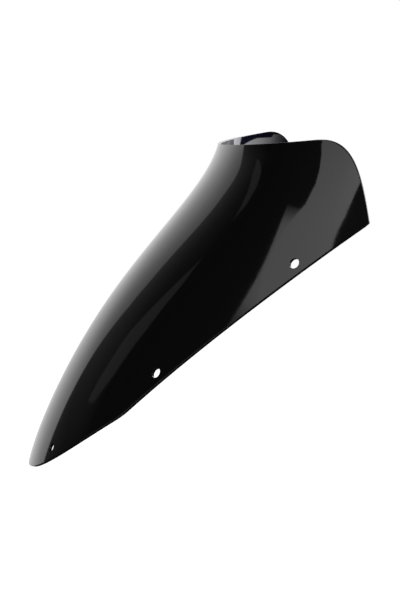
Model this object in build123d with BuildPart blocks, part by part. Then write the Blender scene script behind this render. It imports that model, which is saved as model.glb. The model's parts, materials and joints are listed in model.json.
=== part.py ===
"""Windshield screen of a sports-touring motorcycle: one thermoformed sheet, trimmed and drilled.

+Z is up, -Y is the way the motorcycle travels and X runs across it, so the screen is mirrored
in the plane X = 0. The origin is the bottom centre of the finished screen's bounding box.
All sizes are in millimetres.

The moulded skin is a stack of level slices. Each slice is a conic whose nose sits on the crest
line: its nose radius and its sweep change with height. The blank is thickened inwards, trimmed
by one side outline that runs right across it, and drilled square to the skin.
"""

import os
from math import comb, cos, radians, sin, sqrt, tan

from build123d import *

# ---- Sheet -------------------------------------------------------------------------------
SHEET_THICKNESS = 3.0
EDGE_ROUNDING = 0.9  # polished round on both rims of the cut edge

# ---- Moulded skin ------------------------------------------------------------------------
BLANK_FOOT = -15.0  # height of the blank's lower end, below the trimmed nose
BLANK_MARGIN = 6.0  # how far the blank stands beyond the trim, above it and at the sides
# Each tuple holds the control values of one smooth law, evenly spaced from foot to top.
CREST_SETBACK = (-153.4, -142.5, -87.0, -84.2, 47.2, 43.2)  # Y of the crest line
NOSE_RADIUS = (330.0, 24.5, 380.0)  # radius of a slice where it crosses the crest line
SIDE_SWEEP = (-1.69, 2.25, -2.56)  # above 0 the sides run out straight, below 0 they curl in
TURN_SHARE = 0.99  # the blank stops at this share of the width where a slice turns back
TURN_BLEND = 20  # how sharply the blank's side goes over from one limit to the other

# ---- Trim, as seen from the side (Y, Z) --------------------------------------------------
NOSE_EDGE_START = (-165.0, -14.7)  # in front of the blank, where the lower edge is drawn from
NOSE_EDGE_ARCH = 2.7  # how far the lower edge arches above its chord, nose to knee
KNEE = (-61.8, 74.3)  # soft bend in the lower edge
KNEE_ROUNDING = 120.0
REAR_CORNER = (150.6, 254.2)
REAR_CORNER_ROUNDING = 3.0
LOWER_EDGE_RISE = (45.0, 35.7)  # degrees at the knee and at the rear corner
LOWER_EDGE_HANDLE = 85.5  # how far the lower edge keeps to each of those directions
REAR_EDGE_LEAN = 4.8  # degrees the rear edge leans forward where it leaves the corner
REAR_EDGE_HANDLE = 56.0  # how far it keeps to that lean
TOP_EDGE_LEVEL = 311.4  # height of the straight top edge at Y = 0
TOP_EDGE_RISE = 6.8  # degrees
TOP_EDGE_TURN = 43.0  # how far ahead of the rear corner the top edge starts to turn down
TOP_EDGE_HANDLE = 25.0  # how far the turn keeps to the top edge's direction

# ---- Fixing holes, per side: (distance from the centre plane, height) -------------------
HOLE_DIAMETER = 9.5
HOLE_PLACES = {"nose": (85.0, 30.5), "middle": (165.3, 114.3), "upper": (214.0, 217.5)}

ROWS = 59  # level slices in the blank
COLUMNS = 61  # points across each slice
HALF_SPAN = 400.0  # longer than the screen is wide


def blend(values, share):
    """Bernstein blend of evenly spaced control values, with share running from 0 to 1."""
    degree = len(values) - 1
    return sum(
        comb(degree, i) * share**i * (1 - share) ** (degree - i) * value
        for i, value in enumerate(values)
    )


def reach(start, length, degrees):
    """The point this far from start in a side-view direction measured up from +Y."""
    return (start[0] + length * cos(radians(degrees)), start[1] + length * sin(radians(degrees)))


def top_edge_point(y):
    """The point of the straight top edge at this Y."""
    return (y, TOP_EDGE_LEVEL + y * tan(radians(TOP_EDGE_RISE)))


TOP_EDGE_REAR = top_edge_point(REAR_CORNER[0] - TOP_EDGE_TURN)
BLANK_TOP = top_edge_point(TOP_EDGE_REAR[0] + TOP_EDGE_HANDLE)[1] + BLANK_MARGIN


def skin_laws(height):
    """Crest setback, nose radius and side sweep of the level slice at this height."""
    share = (height - BLANK_FOOT) / (BLANK_TOP - BLANK_FOOT)
    return blend(CREST_SETBACK, share), blend(NOSE_RADIUS, share), blend(SIDE_SWEEP, share)


def skin_point(across, height):
    """The point of the outer skin at this distance from the centre plane and this height."""
    setback, radius, sweep = skin_laws(height)
    depth = across**2 / (radius + sqrt(radius**2 + sweep * across**2))
    return Vector(across, setback + depth, height)


def skin_normal(across, height):
    """Outward unit normal of the skin, from two short chords through the point."""
    step = 0.01
    sideways = skin_point(across + step, height) - skin_point(across - step, height)
    upwards = skin_point(across, height + step) - skin_point(across, height - step)
    return sideways.cross(upwards).normalized()


def corner_half_width():
    """Distance from the centre plane to the rear corner, where the screen is widest."""
    setback, radius, sweep = skin_laws(REAR_CORNER[1])
    depth = REAR_CORNER[0] - setback
    return sqrt(sweep * depth**2 + 2 * radius * depth)


def blank_half_width(height):
    """Half width of the blank: past the rear corner, but short of where a slice turns back."""
    _, radius, sweep = skin_laws(height)
    side = 1 / (corner_half_width() + BLANK_MARGIN)
    turn = sqrt(max(0.0, -sweep)) / (TURN_SHARE * radius)
    return (side**TURN_BLEND + turn**TURN_BLEND) ** (-1 / TURN_BLEND)


def skin_grid():
    """Rows of skin points, from the foot of the blank to its top."""
    grid = []
    for row in range(ROWS):
        height = BLANK_FOOT + row / (ROWS - 1) * (BLANK_TOP - BLANK_FOOT)
        half_width = blank_half_width(height)
        grid.append(
            [
                skin_point(half_width * (2 * column / (COLUMNS - 1) - 1), height)
                for column in range(COLUMNS)
            ]
        )
    return grid


def drilling_plane(across, height):
    """A plane on the skin at this place, facing outwards."""
    return Plane(origin=skin_point(across, height), z_dir=skin_normal(across, height))


def cut_outline():
    """The side outline that is kept, drawn on the YZ plane."""
    top_front = top_edge_point(NOSE_EDGE_START[0])
    with BuildSketch(Plane.YZ) as outline:
        with BuildLine():
            SagittaArc(NOSE_EDGE_START, KNEE, NOSE_EDGE_ARCH)
            Bezier(
                KNEE,
                reach(KNEE, LOWER_EDGE_HANDLE, LOWER_EDGE_RISE[0]),
                reach(REAR_CORNER, -LOWER_EDGE_HANDLE, LOWER_EDGE_RISE[1]),
                REAR_CORNER,
            )
            Bezier(
                REAR_CORNER,
                reach(REAR_CORNER, REAR_EDGE_HANDLE, 90 + REAR_EDGE_LEAN),
                reach(TOP_EDGE_REAR, TOP_EDGE_HANDLE, TOP_EDGE_RISE),
                TOP_EDGE_REAR,
            )
            Polyline(TOP_EDGE_REAR, top_front, NOSE_EDGE_START)
        make_face()
        for corner, rounding in ((KNEE, KNEE_ROUNDING), (REAR_CORNER, REAR_CORNER_ROUNDING)):
            fillet(outline.vertices().sort_by_distance(Vector(*corner))[0], radius=rounding)
    return outline.sketch


def main():
    """Builds the screen and writes it to parts/."""
    blank = Face.make_surface_from_array_of_points(skin_grid())
    with BuildPart(mode=Mode.PRIVATE) as kept_side:
        extrude(cut_outline(), amount=HALF_SPAN, both=True)
    skin = (blank & kept_side.part).faces()[0]

    with BuildPart() as screen_shell:
        # The skin is trimmed before it is given its thickness, so the cut edge is square to it.
        thicken(skin, amount=SHEET_THICKNESS, normal_override=(0, 1, 0))
        walls = screen_shell.faces().sort_by(SortBy.AREA)[-2:]
        fillet(walls.edges(), radius=EDGE_ROUNDING)
        for place in HOLE_PLACES.values():
            for side in (1, -1):
                with Locations(drilling_plane(side * place[0], place[1])):
                    Hole(HOLE_DIAMETER / 2, depth=3 * SHEET_THICKNESS)

    box = screen_shell.part.bounding_box()
    screen_shell.part.move(Location((-box.center().X, -box.center().Y, -box.min.Z)))
    screen_shell.part.label = "screen_shell"
    os.makedirs("parts", exist_ok=True)
    export_step(screen_shell.part, "parts/screen_shell.step")


main()
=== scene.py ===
"""Looks of a motorcycle windshield screen: one formed, trimmed and drilled sheet of black acrylic.

+Z is up, -Y is the way the motorcycle travels and X runs across it. Every size is in metres.
The sheet is laid out flat, with its cut edge already rounded and its holes already drilled, and
a Geometry Nodes press then forms it: each level slice becomes a conic whose nose sits on the
crest line.
"""

import json
import logging
import math
from dataclasses import dataclass, field
from enum import Enum
from typing import Any, Callable, Sequence

import bpy
import numpy as np
from mathutils import Matrix, Vector


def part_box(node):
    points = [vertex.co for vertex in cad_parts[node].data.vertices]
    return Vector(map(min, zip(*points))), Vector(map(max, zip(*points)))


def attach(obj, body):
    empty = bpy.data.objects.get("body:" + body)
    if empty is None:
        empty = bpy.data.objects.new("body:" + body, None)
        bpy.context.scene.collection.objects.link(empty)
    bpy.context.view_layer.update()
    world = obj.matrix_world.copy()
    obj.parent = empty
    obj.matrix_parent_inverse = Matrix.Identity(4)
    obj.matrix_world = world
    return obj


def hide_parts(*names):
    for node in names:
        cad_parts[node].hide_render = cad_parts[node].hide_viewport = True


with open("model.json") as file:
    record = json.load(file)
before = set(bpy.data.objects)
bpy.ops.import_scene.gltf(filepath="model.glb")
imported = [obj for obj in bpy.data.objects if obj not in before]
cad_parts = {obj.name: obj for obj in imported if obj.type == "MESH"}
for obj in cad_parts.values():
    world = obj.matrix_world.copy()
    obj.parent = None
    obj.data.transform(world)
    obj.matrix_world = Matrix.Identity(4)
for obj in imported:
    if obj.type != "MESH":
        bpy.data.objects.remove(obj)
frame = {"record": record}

LOG = logging.getLogger("windshield")
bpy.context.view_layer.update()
CAD_NODE = "screen_shell"
ARC_STEPS = 60  # points along an eased corner
JOIN_GAP = 1e-4  # path points nearer than this to an eased corner's arc are left out
BEARING_HEIGHT = 0.2  # height that the light cards' bearings are taken from
Array = np.ndarray


# ---- Node trees --------------------------------------------------------------------------


class Term:
    """A number socket that builds Math nodes when it meets Python's operators."""

    def __init__(self, bench: "Bench", socket: bpy.types.NodeSocket) -> None:
        """Keeps the socket and the bench whose tree it belongs to."""
        self.bench = bench
        self.socket = socket

    def math(self, operation: str, *values: Any) -> "Term":
        """Adds one Math node.

        Args:
            operation: the node's operation.
            values: what feeds its inputs, in order.

        Returns:
            The node's result.
        """
        inputs = dict(enumerate(values))
        return self.bench.add("ShaderNodeMath", {"operation": operation}, inputs).term()

    def __add__(self, other: Any) -> "Term":
        """self + other."""
        return self.math("ADD", self, other)

    def __sub__(self, other: Any) -> "Term":
        """self - other."""
        return self.math("SUBTRACT", self, other)

    def __mul__(self, other: Any) -> "Term":
        """self * other."""
        return self.math("MULTIPLY", self, other)

    def __truediv__(self, other: Any) -> "Term":
        """self / other."""
        return self.math("DIVIDE", self, other)

    def root(self) -> "Term":
        """The square root."""
        return self.math("SQRT", self)

    def clamped(self) -> "Term":
        """The value held between 0 and 1."""
        return self.math("MAXIMUM", self.math("MINIMUM", self, 1.0), 0.0)


@dataclass
class Fitting:
    """A node on a bench, with its outputs by name."""

    bench: "Bench"
    node: bpy.types.Node

    def out(self, name: str | int = 0) -> bpy.types.NodeSocket:
        """The output socket of this name or place."""
        return self.node.outputs[name]

    def term(self, name: str | int = 0) -> Term:
        """The output of this name or place, ready for arithmetic."""
        return Term(self.bench, self.node.outputs[name])


class Bench:
    """A node tree that is wired up through one method."""

    def __init__(self, tree: bpy.types.NodeTree) -> None:
        """Empties the tree."""
        self.tree = tree
        tree.nodes.clear()

    def add(
        self,
        kind: str,
        settings: dict[str, Any] | None = None,
        inputs: dict[str | int, Any] | None = None,
    ) -> Fitting:
        """Adds a node: its settings first, then what feeds its sockets.

        Args:
            kind: the node's type.
            settings: its properties; "stops" holds a ramp's (position, colour) pairs.
            inputs: constants, sockets or terms, by the socket's name or place.

        Returns:
            The new node.
        """
        node = self.tree.nodes.new(kind)
        for name, value in (settings or {}).items():
            if name == "stops":
                self._set_stops(node.color_ramp, value)
            else:
                setattr(node, name, value)
        for name, value in (inputs or {}).items():
            if isinstance(value, Term):
                value = value.socket
            if isinstance(value, bpy.types.NodeSocket):
                self.tree.links.new(value, node.inputs[name])
            else:
                node.inputs[name].default_value = value
        return Fitting(self, node)

    @staticmethod
    def _set_stops(ramp: bpy.types.ColorRamp, stops: Sequence[tuple[float, tuple]]) -> None:
        """Gives a ramp these stops and no others."""
        while len(ramp.elements) < len(stops):
            ramp.elements.new(1.0)
        for element, (position, colour) in zip(ramp.elements, stops):
            element.position = position
            element.color = colour


def new_material(name: str) -> tuple[bpy.types.Material, Bench]:
    """A new material, with the bench for its nodes."""
    material = bpy.data.materials.new(name)
    material.use_nodes = True
    return material, Bench(material.node_tree)


def new_object(name: str, data: bpy.types.ID) -> bpy.types.Object:
    """A new object in the scene that holds this data."""
    item = bpy.data.objects.new(name, data)
    bpy.context.scene.collection.objects.link(item)
    return item


# ---- The moulded skin --------------------------------------------------------------------


def blend(values: Sequence[Any], share: Any) -> tuple[Any, Any]:
    """Bernstein blend of evenly spaced control values, by repeated halving.

    Args:
        values: the control values, as numbers or terms.
        share: where to read it, from 0 to 1, as a number, an array or a term.

    Returns:
        The value there and its slope per unit of share.
    """
    level = list(values)
    while len(level) > 2:
        level = [a + (b - a) * share for a, b in zip(level, level[1:])]
    start, end = level
    return start + (end - start) * share, (end - start) * (len(values) - 1)


@dataclass(frozen=True)
class SkinRule:
    """The law of the moulded skin. Its fields are numbers, or terms inside the press."""

    foot: Any = -0.015
    top: Any = 0.33321
    crest_setback: Sequence[Any] = (-0.1534, -0.1425, -0.087, -0.0842, 0.0472, 0.0432)
    nose_radius: Sequence[Any] = (0.330, 0.0245, 0.380)
    side_sweep: Sequence[Any] = (-1.69, 2.25, -2.56)

    def share(self, height: Any) -> Any:
        """How far up the blank this height is, from 0 to 1."""
        return (height - self.foot) / (self.top - self.foot)

    def skin(
        self, across: Any, height: Any, root: Callable[[Any], Any]
    ) -> tuple[Any, Any, Any]:
        """The skin's Y at a place, with its two slopes.

        Args:
            across: distance from the centre plane.
            height: height above the blank's own zero.
            root: the square root for this kind of number.

        Returns:
            Y, its slope along X and its slope along Z.
        """
        share = self.share(height)
        setback, setback_slope = blend(self.crest_setback, share)
        radius, radius_slope = blend(self.nose_radius, share)
        sweep, sweep_slope = blend(self.side_sweep, share)
        square = across * across
        pull = root(radius * radius + sweep * square)
        rise = square / (radius + pull)
        shift = rise * (radius_slope + rise * sweep_slope / 2.0) / pull
        upward = (setback_slope - shift) / (self.top - self.foot)
        return setback + rise, across / pull, upward

    def points(self, flat: Array) -> Array:
        """Skin points in space for rows of (across, height)."""
        depth, _, _ = self.skin(flat[..., 0], flat[..., 1], np.sqrt)
        return np.stack([flat[..., 0], depth, flat[..., 1]], axis=-1)

    def normals(self, flat: Array) -> Array:
        """Outward unit normals for rows of (across, height)."""
        _, sideways, upward = self.skin(flat[..., 0], flat[..., 1], np.sqrt)
        normal = np.stack([sideways, -np.ones_like(sideways), upward], axis=-1)
        return normal / np.linalg.norm(normal, axis=-1, keepdims=True)

    def side_to_flat(self, side: Array) -> Array:
        """(across, height) of the skin points seen from the side at these (Y, Z)."""
        share = self.share(side[:, 1])
        rise = side[:, 0] - blend(self.crest_setback, share)[0]
        radius = blend(self.nose_radius, share)[0]
        sweep = blend(self.side_sweep, share)[0]
        square = sweep * rise**2 + 2 * radius * rise
        return np.stack([np.sqrt(np.maximum(square, 0.0)), side[:, 1]], axis=-1)


# ---- The trim ----------------------------------------------------------------------------


def unit(vectors: Array) -> Array:
    """The vectors at length 1."""
    return vectors / np.linalg.norm(vectors, axis=-1, keepdims=True)


def along(path: Array, places: Array) -> Array:
    """Points of a dense path at these shares of its length."""
    steps = np.linalg.norm(np.diff(path, axis=0), axis=1)
    run = np.concatenate([[0.0], np.cumsum(steps)])
    return np.stack(
        [np.interp(places * run[-1], run, path[:, i]) for i in range(path.shape[1])], axis=-1
    )


def bezier(points: Sequence[Sequence[float]], count: int) -> Array:
    """A dense path along a Bezier curve with these control points."""
    share = np.linspace(0.0, 1.0, count)[:, None]
    return blend([np.array(point) for point in points], share)[0]


def reach(start: Sequence[float], length: float, degrees: float) -> tuple[float, float]:
    """The point this far from start in a side-view direction measured up from +Y."""
    turn = math.radians(degrees)
    return start[0] + length * math.cos(turn), start[1] + length * math.sin(turn)


def eased(first: Array, second: Array, radius: float) -> Array:
    """Joins two dense paths that meet in a corner, with an arc of this radius.

    Args:
        first: the path that runs into the corner.
        second: the path that leaves it.
        radius: the arc's radius.

    Returns:
        One dense path: the rest of the first, the arc and the rest of the second.
    """
    ways = [unit(np.gradient(path, axis=0)) for path in (first, second)]
    (x0, y0), (x1, y1) = ways[0][-1], ways[1][0]
    turn = np.sign(x0 * y1 - y0 * x1)
    lefts = [np.stack([-way[:, 1], way[:, 0]], axis=-1) * turn for way in ways]
    rails = [path + radius * left for path, left in zip((first, second), lefts)]
    gaps = np.linalg.norm(rails[0][:, None] - rails[1][None], axis=2)
    i, j = np.unravel_index(gaps.argmin(), gaps.shape)
    sides = np.stack([ways[0][i], -ways[1][j]], axis=-1)
    shift = np.linalg.solve(sides, rails[1][j] - rails[0][i])
    centre = rails[0][i] + shift[0] * ways[0][i]
    starts = [-lefts[0][i], -lefts[1][j]]
    angles = [math.atan2(start[1], start[0]) for start in starts]
    swing = (angles[1] - angles[0] + math.pi) % (2 * math.pi) - math.pi
    turns = angles[0] + np.linspace(0.0, swing, ARC_STEPS)
    arc = centre + radius * np.stack([np.cos(turns), np.sin(turns)], axis=-1)
    before, after = first[: i + 1], second[j:]
    before = before[np.linalg.norm(before - arc[0], axis=1) > JOIN_GAP]
    after = after[np.linalg.norm(after - arc[-1], axis=1) > JOIN_GAP]
    return np.concatenate([before, arc, after])


@dataclass(frozen=True)
class TrimOutline:
    """The side outline that is kept, in (Y, Z), and its four sides laid out flat."""

    nose_edge_start: tuple[float, float] = (-0.165, -0.0147)
    nose_edge_arch: float = 0.0027
    knee: tuple[float, float] = (-0.0618, 0.0743)
    knee_rounding: float = 0.120
    rear_corner: tuple[float, float] = (0.1506, 0.2542)
    rear_corner_rounding: float = 0.003
    lower_edge_rise: tuple[float, float] = (45.0, 35.7)
    lower_edge_handle: float = 0.0855
    rear_edge_lean: float = 4.8
    rear_edge_handle: float = 0.056
    top_edge_level: float = 0.3114
    top_edge_rise: float = 6.8
    top_edge_turn: float = 0.043
    top_edge_handle: float = 0.025
    rear_share: float = 0.62  # where on the rear curve the patch's side ends
    samples: int = 1500

    def nose_edge(self) -> Array:
        """The front run of the lower edge, a shallow arc up to the knee."""
        start, end = np.array(self.nose_edge_start), np.array(self.knee)
        chord = end - start
        length = float(np.linalg.norm(chord))
        up = np.array([-chord[1], chord[0]]) / length
        share = np.linspace(0.0, 1.0, self.samples)
        radius = (length**2 / 4 + self.nose_edge_arch**2) / (2 * self.nose_edge_arch)
        off = (share - 0.5) * length
        lift = np.sqrt(radius**2 - off**2) - (radius - self.nose_edge_arch)
        return start + share[:, None] * chord + lift[:, None] * up

    def top_edge_point(self, y: float) -> tuple[float, float]:
        """The point of the straight top edge at this Y."""
        return y, self.top_edge_level + y * math.tan(math.radians(self.top_edge_rise))

    def sides(self, rule: SkinRule) -> tuple[Array, Array, Array, Array]:
        """The outline as the four sides of a patch in (across, height).

        Args:
            rule: the skin that the outline is cut from.

        Returns:
            The lower edge from the crest to the rear corner, the top edge from the crest to
            the rear turn, the crest line upwards and the rear edge upwards.
        """
        handle = self.lower_edge_handle
        lower = bezier(
            (
                self.knee,
                reach(self.knee, handle, self.lower_edge_rise[0]),
                reach(self.rear_corner, -handle, self.lower_edge_rise[1]),
                self.rear_corner,
            ),
            self.samples,
        )
        turn_end = self.top_edge_point(self.rear_corner[0] - self.top_edge_turn)
        rear = bezier(
            (
                self.rear_corner,
                reach(self.rear_corner, self.rear_edge_handle, 90 + self.rear_edge_lean),
                reach(turn_end, self.top_edge_handle, self.top_edge_rise),
                turn_end,
            ),
            self.samples,
        )
        front = self.top_edge_point(self.nose_edge_start[0])
        top = np.linspace(turn_end, front, self.samples)
        path = eased(self.nose_edge(), lower, self.knee_rounding)
        path = eased(path, rear, self.rear_corner_rounding)
        path = np.concatenate([path, top[1:]])

        behind = path[:, 0] - blend(rule.crest_setback, rule.share(path[:, 1]))[0]
        inside = np.flatnonzero(behind > 0)
        ends = []
        for inner, outer in ((inside[0], inside[0] - 1), (inside[-1], inside[-1] + 1)):
            mix = behind[inner] / (behind[inner] - behind[outer])
            ends.append(path[inner] + mix * (path[outer] - path[inner]))
        path = np.concatenate([ends[:1], path[inside], ends[1:]])
        flat = rule.side_to_flat(path)
        flat[0, 0] = flat[-1, 0] = 0.0

        corner = int(np.linalg.norm(path - self.rear_corner, axis=1).argmin())
        turn_point = rear[int(self.rear_share * (self.samples - 1))]
        rear_end = int(np.linalg.norm(path - turn_point, axis=1).argmin())
        crest = np.linspace(flat[0], flat[-1], self.samples)
        return (
            flat[: corner + 1],
            flat[rear_end:][::-1],
            crest,
            flat[corner : rear_end + 1],
        )


# ---- The flat sheet ----------------------------------------------------------------------


class FixingHole(Enum):
    """The fixing holes of one side: distance from the centre plane and height."""

    NOSE = (0.085, 0.0305)
    MIDDLE = (0.1653, 0.1143)
    UPPER = (0.214, 0.2175)


@dataclass
class FlatSheet:
    """The sheet before forming: X is across, Z is height and Y is the depth below the skin."""

    rule: SkinRule
    outline: TrimOutline
    thickness: float = 0.003
    edge_rounding: float = 0.0004
    hole_radius: float = 0.00475
    hole_rounding: float = 0.00015
    hole_clearance: float = 0.0078  # from a hole's centre to the grid lines that are kept
    fine_reach: float = 0.009  # how far round a hole the grid stays fine
    fine_cell: float = 0.0014
    coarse_cell: float = 0.0034
    cell_growth: float = 0.09
    spans: tuple[float, float] = (0.36, 0.33)  # the patch's size across and upward
    survey: tuple[int, int] = (401, 301)  # lines of the patch that the holes are looked up in
    station_samples: int = 6001
    circle_rounds: int = 6
    block_rounds: int = 40
    rounding_steps: int = 4
    ring_shares: tuple[float, ...] = (0.0, 0.1, 0.24, 0.42, 0.66)  # from the hole outwards
    flat: list[Array] = field(default_factory=list)
    depths: list[Array] = field(default_factory=list)
    normals: list[Array] = field(default_factory=list)
    rims: list[Array] = field(default_factory=list)
    faces: list[tuple[int, ...]] = field(default_factory=list)
    count: int = 0
    sides: tuple[Array, ...] = field(init=False)
    used_normals: Array = field(init=False)

    def _add(self, flat: Array, depth: Any, normals: Array, rim: float) -> Array:
        """Adds vertices.

        Args:
            flat: their (across, height).
            depth: their depth below the skin.
            normals: their unit normals once the sheet is formed.
            rim: 1 on the cut edge and 0 on the walls.

        Returns:
            Their numbers.
        """
        size = len(flat)
        self.flat.append(flat)
        self.depths.append(np.broadcast_to(np.asarray(depth, float), (size,)))
        self.normals.append(normals)
        self.rims.append(np.full(size, rim))
        self.count += size
        return np.arange(self.count - size, self.count)

    def _patch(self, across: Array, upward: Array) -> Array:
        """Fills the four sides of the outline with a smooth grid.

        Args:
            across: shares from the crest to the side, from 0 to 1.
            upward: shares from the lower edge to the top edge, from 0 to 1.

        Returns:
            A grid of (across, height), by column and row.
        """
        lower, top, crest, rear = (
            along(np.concatenate([self.rule.points(side), side], axis=1), shares)[:, 3:]
            for side, shares in zip(self.sides, (across, across, upward, upward))
        )
        s, t = across[:, None, None], upward[None, :, None]
        ruled = (1 - t) * lower[:, None] + t * top[:, None]
        swept = (1 - s) * crest[None] + s * rear[None]
        corners = (1 - s) * ((1 - t) * lower[0] + t * top[0])
        corners = corners + s * ((1 - t) * lower[-1] + t * top[-1])
        return ruled + swept - corners

    def _hole_shares(self) -> list[tuple[Array, Array]]:
        """For each hole, its shares in the patch and how far a share of 1 goes there."""
        across, upward = (np.linspace(0, 1, lines) for lines in self.survey)
        half_steps = [(lines - 1) / 2 for lines in self.survey]
        patch = self._patch(across, upward)
        skin = self.rule.points(patch)
        found = []
        for hole in FixingHole:
            gaps = np.linalg.norm(patch - np.array(hole.value), axis=2)
            i, j = np.unravel_index(gaps.argmin(), gaps.shape)
            reaches = np.array(
                [
                    np.linalg.norm(skin[i + 1, j] - skin[i - 1, j]) * half_steps[0],
                    np.linalg.norm(skin[i, j + 1] - skin[i, j - 1]) * half_steps[1],
                ]
            )
            found.append((np.array([across[i], upward[j]]), reaches))
        return found

    def _stations(self, axis: int, holes: Sequence[tuple[Array, Array]]) -> Array:
        """Shares of the grid's lines along one axis, closer together at the holes.

        Args:
            axis: 0 for across, 1 for upward.
            holes: what _hole_shares gives.

        Returns:
            The shares, from 0 to 1.
        """
        dense = np.linspace(0.0, 1.0, self.station_samples)
        cell = np.full_like(dense, self.coarse_cell / self.spans[axis])
        for shares, reaches in holes:
            near = np.abs(dense - shares[axis]) - self.fine_reach / reaches[axis]
            fine = self.fine_cell / reaches[axis]
            cell = np.minimum(cell, fine + self.cell_growth * np.maximum(near, 0.0))
        run = np.concatenate([[0.0], np.cumsum(2 / (cell[1:] + cell[:-1]) * np.diff(dense))])
        lines = int(math.ceil(run[-1]))
        return np.interp(np.arange(lines + 1) * run[-1] / lines, run, dense)

    def _axes(self, place: Array) -> tuple[Array, Array, Array]:
        """The skin's normal at a place, with the two directions square to it."""
        normal = self.rule.normals(place)
        sideways = unit(np.array([-normal[1], normal[0], 0.0]))
        return normal, sideways, np.cross(normal, sideways)

    def _circle(self, place: Array, radius: float, turns: Array) -> Array:
        """(across, height) of a circle on the skin, square to the skin at its centre."""
        centre = self.rule.points(place)
        normal, sideways, upward = self._axes(place)
        rim = centre + radius * (
            np.cos(turns)[:, None] * sideways + np.sin(turns)[:, None] * upward
        )
        flat = rim[:, [0, 2]]
        for _ in range(self.circle_rounds):
            gap = rim[:, 1] - self.rule.points(flat)[:, 1]
            facing = self.rule.normals(flat)
            lift = gap / (facing @ normal) * -facing[:, 1]
            rim = rim + lift[:, None] * normal
            flat = rim[:, [0, 2]]
        return flat

    def _block(self, skin: Array, place: Array) -> tuple[int, int, int, int]:
        """The grid lines of the smallest block that clears a hole, as (i0, i1, j0, j1)."""
        centre = self.rule.points(place)
        gaps = np.linalg.norm(skin - centre, axis=2)
        i, j = (int(n) for n in np.unravel_index(gaps.argmin(), gaps.shape))
        low_i, high_i, low_j, high_j = i - 1, i + 1, j - 1, j + 1
        for _ in range(self.block_rounds):
            rows, columns = slice(low_j, high_j + 1), slice(low_i, high_i + 1)
            tight = [
                gaps[low_i, rows].min() < self.hole_clearance,
                gaps[high_i, rows].min() < self.hole_clearance,
                gaps[columns, low_j].min() < self.hole_clearance,
                gaps[columns, high_j].min() < self.hole_clearance,
            ]
            low_i, high_i = low_i - tight[0], high_i + tight[1]
            low_j, high_j = max(low_j - tight[2], 1), high_j + tight[3]
        return low_i, high_i, low_j, high_j

    def _surround(self, grid: Array, skin: Array, place: Array) -> Array:
        """Fills the grid's block round a hole with rings of faces.

        Args:
            grid: the vertex numbers of the grid, by column and row; a block's inside becomes -1.
            skin: the grid's skin points.
            place: (across, height) of the hole.

        Returns:
            The vertex numbers round the hole's rim, with the wall on their left.
        """
        low_i, high_i, low_j, high_j = self._block(skin, place)
        lines = [(i, low_j) for i in range(low_i, high_i)]
        lines += [(high_i, j) for j in range(low_j, high_j)]
        lines += [(i, high_j) for i in range(high_i, low_i, -1)]
        lines += [(low_i, j) for j in range(high_j, low_j, -1)]
        border = np.array([grid[line] for line in lines])
        away = np.array([skin[line] for line in lines]) - self.rule.points(place)
        _, sideways, upward = self._axes(place)
        turns = np.unwrap(np.arctan2(away @ upward, away @ sideways))
        even = np.arange(len(lines)) * 2 * math.pi / len(lines)
        even = even + (turns - even).mean()
        inner = self._circle(place, self.hole_radius + self.hole_rounding, even)
        outer = self._flat_of(border)
        rings = []
        for share in self.ring_shares:
            flat = inner + share * (outer - inner)
            rings.append(self._add(flat, 0.0, self.rule.normals(flat), 0.0))
        rings.append(border)
        for ring, wider in zip(rings, rings[1:]):
            self._strip(wider[::-1], ring[::-1])
        grid[low_i + 1 : high_i, low_j + 1 : high_j] = -1
        return rings[0][::-1]

    def _strip(self, inner: Array, outer: Array) -> None:
        """Joins two closed loops of vertices, the second on the right of the first."""
        for a, b, c, d in zip(np.roll(inner, -1), inner, outer, np.roll(outer, -1)):
            self.faces.append((int(a), int(b), int(c), int(d)))

    def _edge(self, loop: Array, inner_loop: Array, rounding: float) -> None:
        """Closes the cut edge between the two walls, with both its rims rounded.

        Args:
            loop: the outer wall's vertices along the edge, with the wall on their left.
            inner_loop: the inner wall's, in the same order.
            rounding: radius of the rims.
        """
        flat = self._flat_of(loop)
        skin, normals = self.rule.points(flat), self.rule.normals(flat)
        way = unit(np.roll(skin, -1, axis=0) - np.roll(skin, 1, axis=0))
        outward = unit(np.cross(way, normals))
        arc = np.linspace(0.0, math.pi / 2, self.rounding_steps + 1)
        rings = [(rounding * math.sin(a), rounding * (1 - math.cos(a)), a) for a in arc[1:]]
        rings += [
            (out, self.thickness - depth, math.pi - a) for out, depth, a in reversed(rings)
        ]
        last = loop
        for out, depth, turn in rings:
            place = flat + out * outward[:, [0, 2]]
            facing = unit(
                math.cos(turn) * self.rule.normals(place) + math.sin(turn) * outward
            )
            ring = self._add(place, depth, facing, 1.0)
            self._strip(last, ring)
            last = ring
        self._strip(last, inner_loop)

    def _flat_of(self, numbers: Array) -> Array:
        """(across, height) of these vertices."""
        return np.concatenate(self.flat)[numbers]

    def build(self) -> bpy.types.Mesh:
        """Lays out the whole sheet.

        Returns:
            The flat mesh, with the attribute "cut_edge".
        """
        self.sides = self.outline.sides(self.rule)
        holes = self._hole_shares()
        half, upward = (self._stations(axis, holes) for axis in (0, 1))
        patch = self._patch(half, upward)
        mirrored = patch[:0:-1] * np.array([-1.0, 1.0])
        patch = np.concatenate([mirrored, patch])
        columns, rows = patch.shape[:2]
        grid = np.arange(columns * rows).reshape(columns, rows)

        rim = np.concatenate([grid[:, 0], grid[-1, 1:], grid[-2::-1, -1], grid[0, -2:0:-1]])
        flat = patch.reshape(-1, 2)
        skin, normals = self.rule.points(flat), self.rule.normals(flat)
        way = unit(np.roll(skin[rim], -1, axis=0) - np.roll(skin[rim], 1, axis=0))
        outward = unit(np.cross(way, normals[rim]))
        flat[rim] -= self.edge_rounding * outward[:, [0, 2]]
        self._add(flat, 0.0, self.rule.normals(flat), 0.0)

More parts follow.
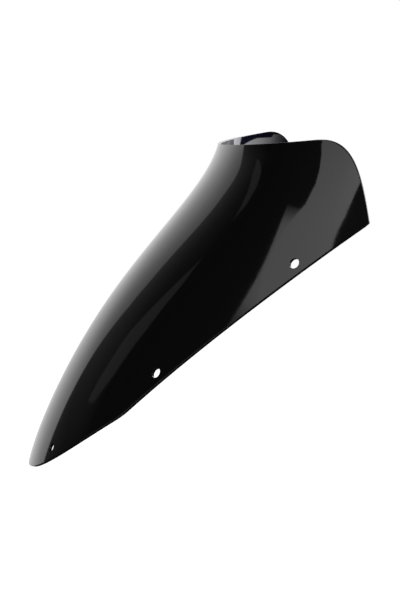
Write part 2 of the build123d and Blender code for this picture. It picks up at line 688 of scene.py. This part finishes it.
        skin = self.rule.points(flat).reshape(columns, rows, 3)
        loops = [rim]
        for hole in FixingHole:
            for side in (1, -1):
                place = np.array(hole.value) * np.array([side, 1.0])
                loops.append(self._surround(grid, skin, place))
        for i in range(columns - 1):
            for j in range(rows - 1):
                cell = (grid[i, j], grid[i + 1, j], grid[i + 1, j + 1], grid[i, j + 1])
                if min(cell) >= 0:
                    self.faces.append(tuple(int(n) for n in cell))

        wall = self.count
        outer_faces = list(self.faces)
        flat, normals = np.concatenate(self.flat), np.concatenate(self.normals)
        self._add(flat, self.thickness, -normals, 0.0)
        self.faces += [tuple(n + wall for n in reversed(face)) for face in outer_faces]
        roundings = [self.edge_rounding] + [self.hole_rounding] * (len(loops) - 1)
        for loop, rounding in zip(loops, roundings):
            self._edge(loop, loop + wall, rounding)
        return self._mesh()

    def _mesh(self) -> bpy.types.Mesh:
        """Makes the mesh, without the vertices that no face uses."""
        flat, depths = np.concatenate(self.flat), np.concatenate(self.depths)
        faces = np.array(self.faces)
        used = np.unique(faces)
        number = np.full(self.count, -1)
        number[used] = np.arange(len(used))
        places = np.stack([flat[:, 0], depths, flat[:, 1]], axis=-1)[used]
        self.used_normals = np.concatenate(self.normals)[used]
        mesh = bpy.data.meshes.new("flat_sheet")
        mesh.from_pydata(places.tolist(), [], number[faces].tolist())
        mesh.attributes.new("cut_edge", "FLOAT", "POINT").data.foreach_set(
            "value", np.concatenate(self.rims)[used].astype(np.float32)
        )
        mesh.update()
        return mesh


# ---- The press ---------------------------------------------------------------------------


@dataclass
class FormingPress:
    """Geometry Nodes that bend the flat sheet onto the skin and keep its thickness."""

    rule: SkinRule

    def _sizes(self) -> list[tuple[str, float]]:
        """The press's inputs, by name, in the order of the rule's fields."""
        sizes = [("Foot", self.rule.foot), ("Top", self.rule.top)]
        for title, values in (
            ("Crest setback", self.rule.crest_setback),
            ("Nose radius", self.rule.nose_radius),
            ("Side sweep", self.rule.side_sweep),
        ):
            sizes += [(f"{title} {i}", value) for i, value in enumerate(values, 1)]
        return sizes

    def build(self, material: bpy.types.Material) -> bpy.types.NodeTree:
        """Builds the tree.

        Args:
            material: what the formed sheet is made of.

        Returns:
            The geometry tree, with one named input for each size.
        """
        tree = bpy.data.node_groups.new("forming_press", "GeometryNodeTree")
        bench = Bench(tree)
        tree.interface.new_socket("Sheet", in_out="INPUT", socket_type="NodeSocketGeometry")
        for name, _ in self._sizes():
            tree.interface.new_socket(name, in_out="INPUT", socket_type="NodeSocketFloat")
        tree.interface.new_socket("Sheet", in_out="OUTPUT", socket_type="NodeSocketGeometry")

        given = bench.add("NodeGroupInput")
        terms = [given.term(name) for name, _ in self._sizes()]
        crest, nose = len(self.rule.crest_setback), len(self.rule.nose_radius)
        rule = SkinRule(
            foot=terms[0],
            top=terms[1],
            crest_setback=terms[2 : 2 + crest],
            nose_radius=terms[2 + crest : 2 + crest + nose],
            side_sweep=terms[2 + crest + nose :],
        )
        place = bench.add(
            "ShaderNodeSeparateXYZ", {}, {0: bench.add("GeometryNodeInputPosition").out()}
        )
        across, depth, height = (place.term(axis) for axis in "XYZ")
        setback, sideways, upward = rule.skin(across, height, Term.root)
        sunk = depth / (sideways * sideways + upward * upward + 1.0).root()
        formed = bench.add(
            "ShaderNodeCombineXYZ",
            {},
            {0: across - sunk * sideways, 1: setback + sunk, 2: height - sunk * upward},
        )
        moved = bench.add(
            "GeometryNodeSetPosition",
            {},
            {"Geometry": given.out("Sheet"), "Position": formed.out()},
        )
        real = bench.add("GeometryNodeRealizeInstances", {}, {0: moved.out()})
        dressed = bench.add(
            "GeometryNodeSetMaterial", {}, {"Geometry": real.out(), "Material": material}
        )
        bench.add("NodeGroupOutput", {}, {0: dressed.out()})
        return tree

    def form(
        self, mesh: bpy.types.Mesh, material: bpy.types.Material, name: str
    ) -> bpy.types.Object:
        """Forms a flat sheet.

        Args:
            mesh: the flat sheet.
            material: what it is made of.
            name: name of the formed piece.

        Returns:
            The formed piece, a plain mesh object in the scene.
        """
        flat = new_object("flat_sheet", mesh)
        press = flat.modifiers.new("Forming press", "NODES")
        press.node_group = self.build(material)
        sizes = dict(self._sizes())
        for item in press.node_group.interface.items_tree:
            if item.in_out == "INPUT" and item.name in sizes:
                press[item.identifier] = float(sizes[item.name])
        graph = bpy.context.evaluated_depsgraph_get()
        formed = bpy.data.meshes.new_from_object(flat.evaluated_get(graph), depsgraph=graph)
        formed.name = name
        piece = new_object(name, formed)
        bpy.data.objects.remove(flat)
        return piece


# ---- Finish ------------------------------------------------------------------------------


@dataclass(frozen=True)
class BlackAcrylic:
    """Gloss black acrylic: polished faces with the faint waves of forming, a satin cut edge."""

    colour: tuple[float, float, float] = (0.0012, 0.0012, 0.0014)
    edge_colour: tuple[float, float, float] = (0.004, 0.004, 0.0045)
    face_roughness: float = 0.035
    haze_roughness: float = 0.035
    edge_roughness: float = 0.16
    ior: float = 1.49
    haze_scale: float = 14.0
    scuff_scale: float = 160.0
    scuff_gain: float = 2.0
    haze_share: float = 0.15  # how far the haze lightens the polished faces
    wave_scale: float = 9.0
    wave_height: float = 0.00006
    grain_scale: float = 420.0
    grain_height: float = 0.0000012
    edge_grain: float = 6.0  # how much stronger the grain is on the cut edge

    def build(self) -> bpy.types.Material:
        """Builds the material.

        Returns:
            The material, with patterns on Object coordinates and on the cut edge's attribute.
        """
        material, bench = new_material("black_acrylic")
        place = bench.add("ShaderNodeTexCoord").out("Object")
        edge = bench.add("ShaderNodeAttribute", {"attribute_name": "cut_edge"}).term("Fac")
        haze, scuff, wave, grain = (
            bench.add(
                "ShaderNodeTexNoise",
                {},
                {"Vector": place, "Scale": scale, "Detail": detail, "Roughness": falloff},
            ).term()
            for scale, detail, falloff in (
                (self.haze_scale, 4.0, 0.5),
                (self.scuff_scale, 3.0, 0.5),
                (self.wave_scale, 1.0, 0.3),
                (self.grain_scale, 2.0, 0.5),
            )
        )
        colour = bench.add(
            "ShaderNodeMix",
            {"data_type": "RGBA"},
            {
                0: edge * (1.0 - self.haze_share) + haze * self.haze_share,
                6: (*self.colour, 1.0),
                7: (*self.edge_colour, 1.0),
            },
        )
        cloud = (haze * scuff * self.scuff_gain).clamped()
        polish = cloud * self.haze_roughness + self.face_roughness
        roughness = polish + edge * (self.edge_roughness - self.face_roughness)
        sanding = edge * self.edge_grain + 1.0
        relief = wave * self.wave_height + grain * self.grain_height * sanding
        bump = bench.add(
            "ShaderNodeBump", {}, {"Strength": 1.0, "Distance": 1.0, "Height": relief}
        )
        shader = bench.add(
            "ShaderNodeBsdfPrincipled",
            {},
            {
                "Base Color": colour.out(2),
                "Roughness": roughness,
                "IOR": self.ior,
                "Normal": bump.out(),
            },
        )
        bench.add("ShaderNodeOutputMaterial", {}, {"Surface": shader.out()})
        return material


# ---- The screen --------------------------------------------------------------------------


@dataclass
class WindshieldScreen:
    """The whole object: one black acrylic screen with six fixing holes."""

    rule: SkinRule = field(default_factory=SkinRule)
    outline: TrimOutline = field(default_factory=TrimOutline)
    finish: BlackAcrylic = field(default_factory=BlackAcrylic)

    def _settle(self, piece: bpy.types.Object) -> Vector:
        """Moves the mesh to where the CAD node stands.

        Args:
            piece: the formed piece.

        Returns:
            How far it was moved.
        """
        places = np.zeros(len(piece.data.vertices) * 3)
        piece.data.vertices.foreach_get("co", places)
        places = places.reshape(-1, 3)
        low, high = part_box(CAD_NODE)
        shift = (low + high) / 2 - Vector((places.min(0) + places.max(0)) / 2)
        shift.z = low.z - float(places[:, 2].min())
        piece.data.transform(Matrix.Translation(shift))
        return shift

    def _check_holes(self, shift: Vector) -> None:
        """Logs how far each hole's axis passes from the record's mount."""
        for mount in frame["record"].get("mounts", []):
            spot, axis = Vector(mount["pos_m"]), Vector(mount["axis"]).normalized()
            gaps = []
            for hole in FixingHole:
                flat = np.array([[math.copysign(hole.value[0], spot.x), hole.value[1]]])
                skin = Vector(self.rule.points(flat)[0]) + shift
                gaps.append((skin - spot).cross(axis).length)
            LOG.info("hole %s is %.2f mm off its mount", mount.get("name"), min(gaps) * 1000)

    def build(self) -> bpy.types.Object:
        """Builds and dresses the screen.

        Returns:
            The finished piece.
        """
        material = self.finish.build()
        sheet = FlatSheet(self.rule, self.outline)
        flat = sheet.build()
        piece = FormingPress(self.rule).form(flat, material, "windshield_screen")
        shift = self._settle(piece)
        piece.data.polygons.foreach_set("use_smooth", [True] * len(piece.data.polygons))
        piece.data.normals_split_custom_set_from_vertices(sheet.used_normals.tolist())
        self._check_holes(shift)
        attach(piece, "root")
        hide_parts(CAD_NODE)
        return piece


# ---- Studio ------------------------------------------------------------------------------


@dataclass(frozen=True)
class Fade:
    """How a card's glow changes from one point to another."""

    start: tuple[float, float, float]
    end: tuple[float, float, float]
    stops: tuple[tuple[float, float], ...]

    def build(self, bench: Bench, place: bpy.types.NodeSocket) -> Term:
        """Builds the fade.

        Args:
            bench: the card's node tree.
            place: its coordinates.

        Returns:
            The share of the glow at each place.
        """
        way = Vector(self.end) - Vector(self.start)
        offset = bench.add(
            "ShaderNodeVectorMath", {"operation": "SUBTRACT"}, {0: place, 1: self.start}
        )
        share = bench.add(
            "ShaderNodeVectorMath",
            {"operation": "DOT_PRODUCT"},
            {0: offset.out(), 1: way / way.length_squared},
        ).out("Value")
        stops = [(position, (glow, glow, glow, 1.0)) for position, glow in self.stops]
        return bench.add("ShaderNodeValToRGB", {"stops": stops}, {0: share}).term("Color")


@dataclass(frozen=True)
class LightCard:
    """A glowing card that lights the object and isn't seen by the camera itself."""

    name: str
    glow: float
    corners: tuple[tuple[float, float, float], ...]
    fades: tuple[Fade, ...] = ()
    tint: tuple[float, float, float] = (1.0, 1.0, 1.0)

    def build(self) -> None:
        """Builds the card."""
        material, bench = new_material(f"{self.name}_glow")
        colour: Any = (*self.tint, 1.0)
        if self.fades:
            place = bench.add("ShaderNodeTexCoord").out("Object")
            share = self.fades[0].build(bench, place)
            for fade in self.fades[1:]:
                share = share * fade.build(bench, place)
            colour = bench.add(
                "ShaderNodeMix",
                {"data_type": "RGBA"},
                {0: share, 6: (0.0, 0.0, 0.0, 1.0), 7: colour},
            ).out(2)
        light = bench.add("ShaderNodeEmission", {}, {"Color": colour, "Strength": self.glow})
        bench.add("ShaderNodeOutputMaterial", {}, {"Surface": light.out()})
        mesh = bpy.data.meshes.new(self.name)
        mesh.from_pydata(self.corners, [], [tuple(range(len(self.corners)))])
        mesh.materials.append(material)
        card = new_object(self.name, mesh)
        card.visible_camera = False


def bearing(azimuth: float, elevation: float, distance: float) -> tuple[float, float, float]:
    """A point seen from the object at this azimuth (0 ahead, 90 to +X) and elevation, degrees."""
    a, e = math.radians(azimuth), math.radians(elevation)
    return (
        distance * math.sin(a) * math.cos(e),
        -distance * math.cos(a) * math.cos(e),
        distance * math.sin(e) + BEARING_HEIGHT,
    )


Outline = Sequence[tuple[float, float]]
Corners = tuple[tuple[float, float, float], ...]


def side_wall(x: float, outline: Outline) -> Corners:
    """Corners of an upright card beside the object, from its (Y, Z) outline."""
    return tuple((x, y, z) for y, z in outline)


def end_wall(y: float, outline: Outline) -> Corners:
    """Corners of an upright card ahead of the object, from its (X, Z) outline."""
    return tuple((x, y, z) for x, z in outline)


def round_wall(distance: float, outline: Outline) -> Corners:
    """Corners of a card round the object, from its (azimuth, elevation) outline."""
    return tuple(bearing(azimuth, elevation, distance) for azimuth, elevation in outline)


def oblong(low: tuple[float, float], high: tuple[float, float]) -> Outline:
    """The outline of an oblong, from two opposite corners."""
    return (low, (high[0], low[1]), high, (low[0], high[1]))


@dataclass
class Studio:
    """A plain pale floor, plain soft studio light and the camera."""

    floor_level: float = -0.30
    floor_half_width: float = 4.0
    floor_front: float = -0.9
    floor_back: float = 5.0
    view_azimuth: float = 85.8
    view_elevation: float = 6.65
    view_distance: float = 1.701
    view_target: tuple[float, float, float] = (0.0, 0.02133, 0.16179)
    view_depth: float = 50.0
    lens: float = 102.06
    sensor_width: float = 36.0

    def side_cards(self) -> list[LightCard]:
        """The card on the far side that the front of the screen mirrors, and its faint wash."""
        card_x, streak_x, glow_x = -2.5, -2.59, -2.6
        card = (
            (-2.05, -0.9), (-2.05, 0.5), (-2.1, 0.9), (-2.2, 1.3), (-2.15, 1.5), (-2.05, 1.6),
            (-2.0, 1.7), (-1.8, 2.6), (0.2, 2.6), (0.2, -0.9),
        )
        card_along = (
            (0.0, 0.70), (0.23, 0.80), (0.35, 0.90), (0.45, 0.98), (0.55, 1.0), (0.75, 1.0),
            (1.0, 0.92),
        )
        card_up = (
            (0.0, 0.92), (0.2, 1.0), (0.3, 0.97), (0.42, 0.82), (0.52, 0.72), (0.65, 0.66),
            (1.0, 0.62),
        )
        glow_along = (
            (0.0, 1.0), (0.17, 0.72), (0.33, 0.55), (0.53, 0.42), (0.8, 0.28), (1.0, 0.2),
        )
        glow_up = ((0.0, 0.45), (0.33, 0.6), (0.5, 0.9), (0.7, 1.0), (1.0, 0.75))
        streak = (
            (-3.62, 1.33), (-3.66, 1.75), (-3.65, 1.95), (-4.22, 2.85), (-4.5, 3.2),
            (-4.85, 3.2), (-4.95, 2.75), (-4.7, 2.15), (-4.15, 1.6),
        )
        return [
            LightCard(
                "side_card",
                0.98,
                side_wall(card_x, card),
                (
                    Fade((0, -2.2, 0), (0, 0, 0), card_along),
                    Fade((0, 0, 0), (0, 0, 2.0), card_up),
                ),
            ),
            LightCard(
                "side_glow",
                0.14,
                side_wall(glow_x, oblong((-1.7, -0.6), (-5.2, 3.4))),
                (
                    Fade((0, -2.2, 0), (0, -5.2, 0), glow_along),
                    Fade((0, 0, 0), (0, 0, 2.4), glow_up),
                ),
            ),
            LightCard("streak_card", 0.15, side_wall(streak_x, streak)),
        ]

    def front_cards(self) -> list[LightCard]:
        """The card ahead that the near flank mirrors, its soft corner and its faint wash."""
        card_y, glow_y = -1.5, -1.62
        card = (
            (0.43, -0.9), (0.437, -0.036), (0.506, 0.232), (0.551, 0.580), (0.539, 0.820),
            (0.450, 1.067), (0.17, 1.29), (0.16, 1.50), (0.15, 1.85), (0.60, 1.74),
            (0.808, 1.60), (0.957, 1.496), (1.132, 1.376), (1.291, 1.201), (1.530, 0.882),
            (1.75, 0.55), (1.85, -0.9),
        )
        card_across = (
            (0.0, 0.64), (0.2, 0.71), (0.42, 0.775), (0.62, 0.84), (0.82, 0.94), (1.0, 1.0),
        )
        corner = (
            (0.450, 1.067), (0.395, 1.11), (0.142, 1.085), (0.153, 1.20), (0.165, 1.26),
            (0.17, 1.29),
        )
        corner_up = ((0.0, 0.1), (0.35, 0.42), (0.7, 0.88), (1.0, 1.0))
        glow_across = ((0.0, 0.32), (0.3, 0.55), (0.5, 0.75), (1.0, 1.0))
        return [
            LightCard(
                "front_card",
                2.05,
                end_wall(card_y, card),
                (Fade((0.50, card_y, 0), (1.64, card_y, 0.4), card_across),),
            ),
            LightCard(
                "front_corner_card",
                1.31,
                end_wall(card_y, corner),
                (Fade((0, card_y, 1.08), (0, card_y, 1.24), corner_up),),
            ),
            LightCard(
                "front_glow",
                0.085,
                end_wall(glow_y, oblong((-0.6, -0.9), (2.8, 3.0))),
                (Fade((-0.6, glow_y, 0), (1.4, glow_y, 0), glow_across),),
            ),
        ]

    def rear_cards(self) -> list[LightCard]:
        """The cool cards behind, which the inner face mirrors above the top edge."""
        distance, glow_distance = 2.6, 2.75
        side_tint, tint, glow_tint = (0.94, 0.94, 1.0), (0.95, 0.95, 1.0), (0.40, 0.38, 1.0)
        card = (
            (-136.5, -13), (-188, -13), (-188, 14), (-168, 10), (-143, -3.5), (-136.5, -7),
        )
        card_across = ((0.0, 1.0), (0.3, 0.75), (0.6, 0.3), (1.0, 0.0))
        return [
            LightCard(
                "rear_side_card",
                1.3,
                round_wall(distance, oblong((-95, -13), (-106, 25))),
                tint=side_tint,
            ),
            LightCard(
                "rear_middle_card",
                2.4,
                round_wall(distance, oblong((-107.2, -13), (-136.5, 25))),
                tint=tint,
            ),
            LightCard(
                "rear_card",
                2.5,
                round_wall(distance, card),
                (Fade((-0.9, 0, 0), (0.3, 0, 0), card_across),),
                tint,
            ),
            LightCard(
                "rear_glow",
                0.08,
                round_wall(glow_distance, oblong((-136, -10), (-172, 30))),
                tint=glow_tint,
            ),
        ]

    def fill_cards(self) -> list[LightCard]:
        """The cards that only show the object's other sides."""
        side_x, overhead_z = 2.5, 3.0
        side_up = ((0.0, 0.7), (0.4, 1.0), (1.0, 0.6))
        overhead_along = ((0.0, 0.55), (0.5, 1.0), (1.0, 0.8))
        return [
            LightCard(
                "far_side_card",
                0.9,
                side_wall(side_x, oblong((-0.3, -0.6), (2.4, 2.4))),
                (Fade((0, 0, -0.6), (0, 0, 2.4), side_up),),
            ),
            LightCard(
                "overhead_card",
                1.1,
                tuple((x, y, overhead_z) for x, y in oblong((-1.7, -1.6), (1.7, 1.8))),
                (Fade((0, -1.6, 0), (0, 1.8, 0), overhead_along),),
            ),
        ]

    def floor(self) -> None:
        """Builds the plain pale floor, which the object doesn't mirror."""
        material, bench = new_material("pale_floor")
        shader = bench.add(
            "ShaderNodeBsdfPrincipled",
            {},
            {
                "Base Color": (0.20, 0.20, 0.20, 1.0),
                "Roughness": 0.9,
                "Specular IOR Level": 0.0,
                "Emission Color": (1.0, 1.0, 1.0, 1.0),
                "Emission Strength": 1.0,
            },
        )
        bench.add("ShaderNodeOutputMaterial", {}, {"Surface": shader.out()})
        mesh = bpy.data.meshes.new("studio_floor")
        outline = oblong(
            (-self.floor_half_width, self.floor_front), (self.floor_half_width, self.floor_back)
        )
        mesh.from_pydata([(x, y, self.floor_level) for x, y in outline], [], [(0, 1, 2, 3)])
        mesh.materials.append(material)
        floor = new_object("studio_floor", mesh)
        floor.visible_glossy = floor.visible_diffuse = False

    def air(self) -> None:
        """White to the camera, and nearly dark to everything else."""
        world = bpy.data.worlds.new("studio_air")
        bpy.context.scene.world = world
        world.use_nodes = True
        bench = Bench(world.node_tree)
        seen = bench.add("ShaderNodeLightPath").out("Is Camera Ray")
        dim = bench.add("ShaderNodeBackground", {}, {"Color": (0.03, 0.03, 0.032, 1.0)})
        white = bench.add("ShaderNodeBackground", {}, {"Color": (1.0, 1.0, 1.0, 1.0)})
        mixed = bench.add("ShaderNodeMixShader", {}, {0: seen, 1: dim.out(), 2: white.out()})
        bench.add("ShaderNodeOutputWorld", {}, {"Surface": mixed.out()})

    def camera(self) -> None:
        """Places the camera at the viewing angle."""
        data = bpy.data.cameras.new("studio_camera")
        data.lens = self.lens
        data.sensor_width = self.sensor_width
        data.clip_end = self.view_depth
        camera = new_object("studio_camera", data)
        a, e = math.radians(self.view_azimuth), math.radians(self.view_elevation)
        back = Vector((math.sin(a) * math.cos(e), -math.cos(a) * math.cos(e), math.sin(e)))
        camera.location = Vector(self.view_target) + self.view_distance * back
        camera.rotation_euler = (-back).to_track_quat("-Z", "Y").to_euler()
        bpy.context.scene.camera = camera

    def build(self) -> None:
        """Builds everything round the object."""
        self.camera()
        self.air()
        self.floor()
        cards = self.side_cards() + self.front_cards() + self.rear_cards() + self.fill_cards()
        for card in cards:
            card.build()
        bpy.context.scene.view_settings.view_transform = "Standard"


def main() -> None:
    """Builds the studio and the object, and reports each piece."""
    logging.basicConfig(level=logging.INFO, format="%(message)s")
    Studio().build()
    screen = WindshieldScreen().build()
    mesh = screen.data
    LOG.info("%s: %d vertices, %d faces", screen.name, len(mesh.vertices), len(mesh.polygons))


if __name__ == "__main__":
    main()
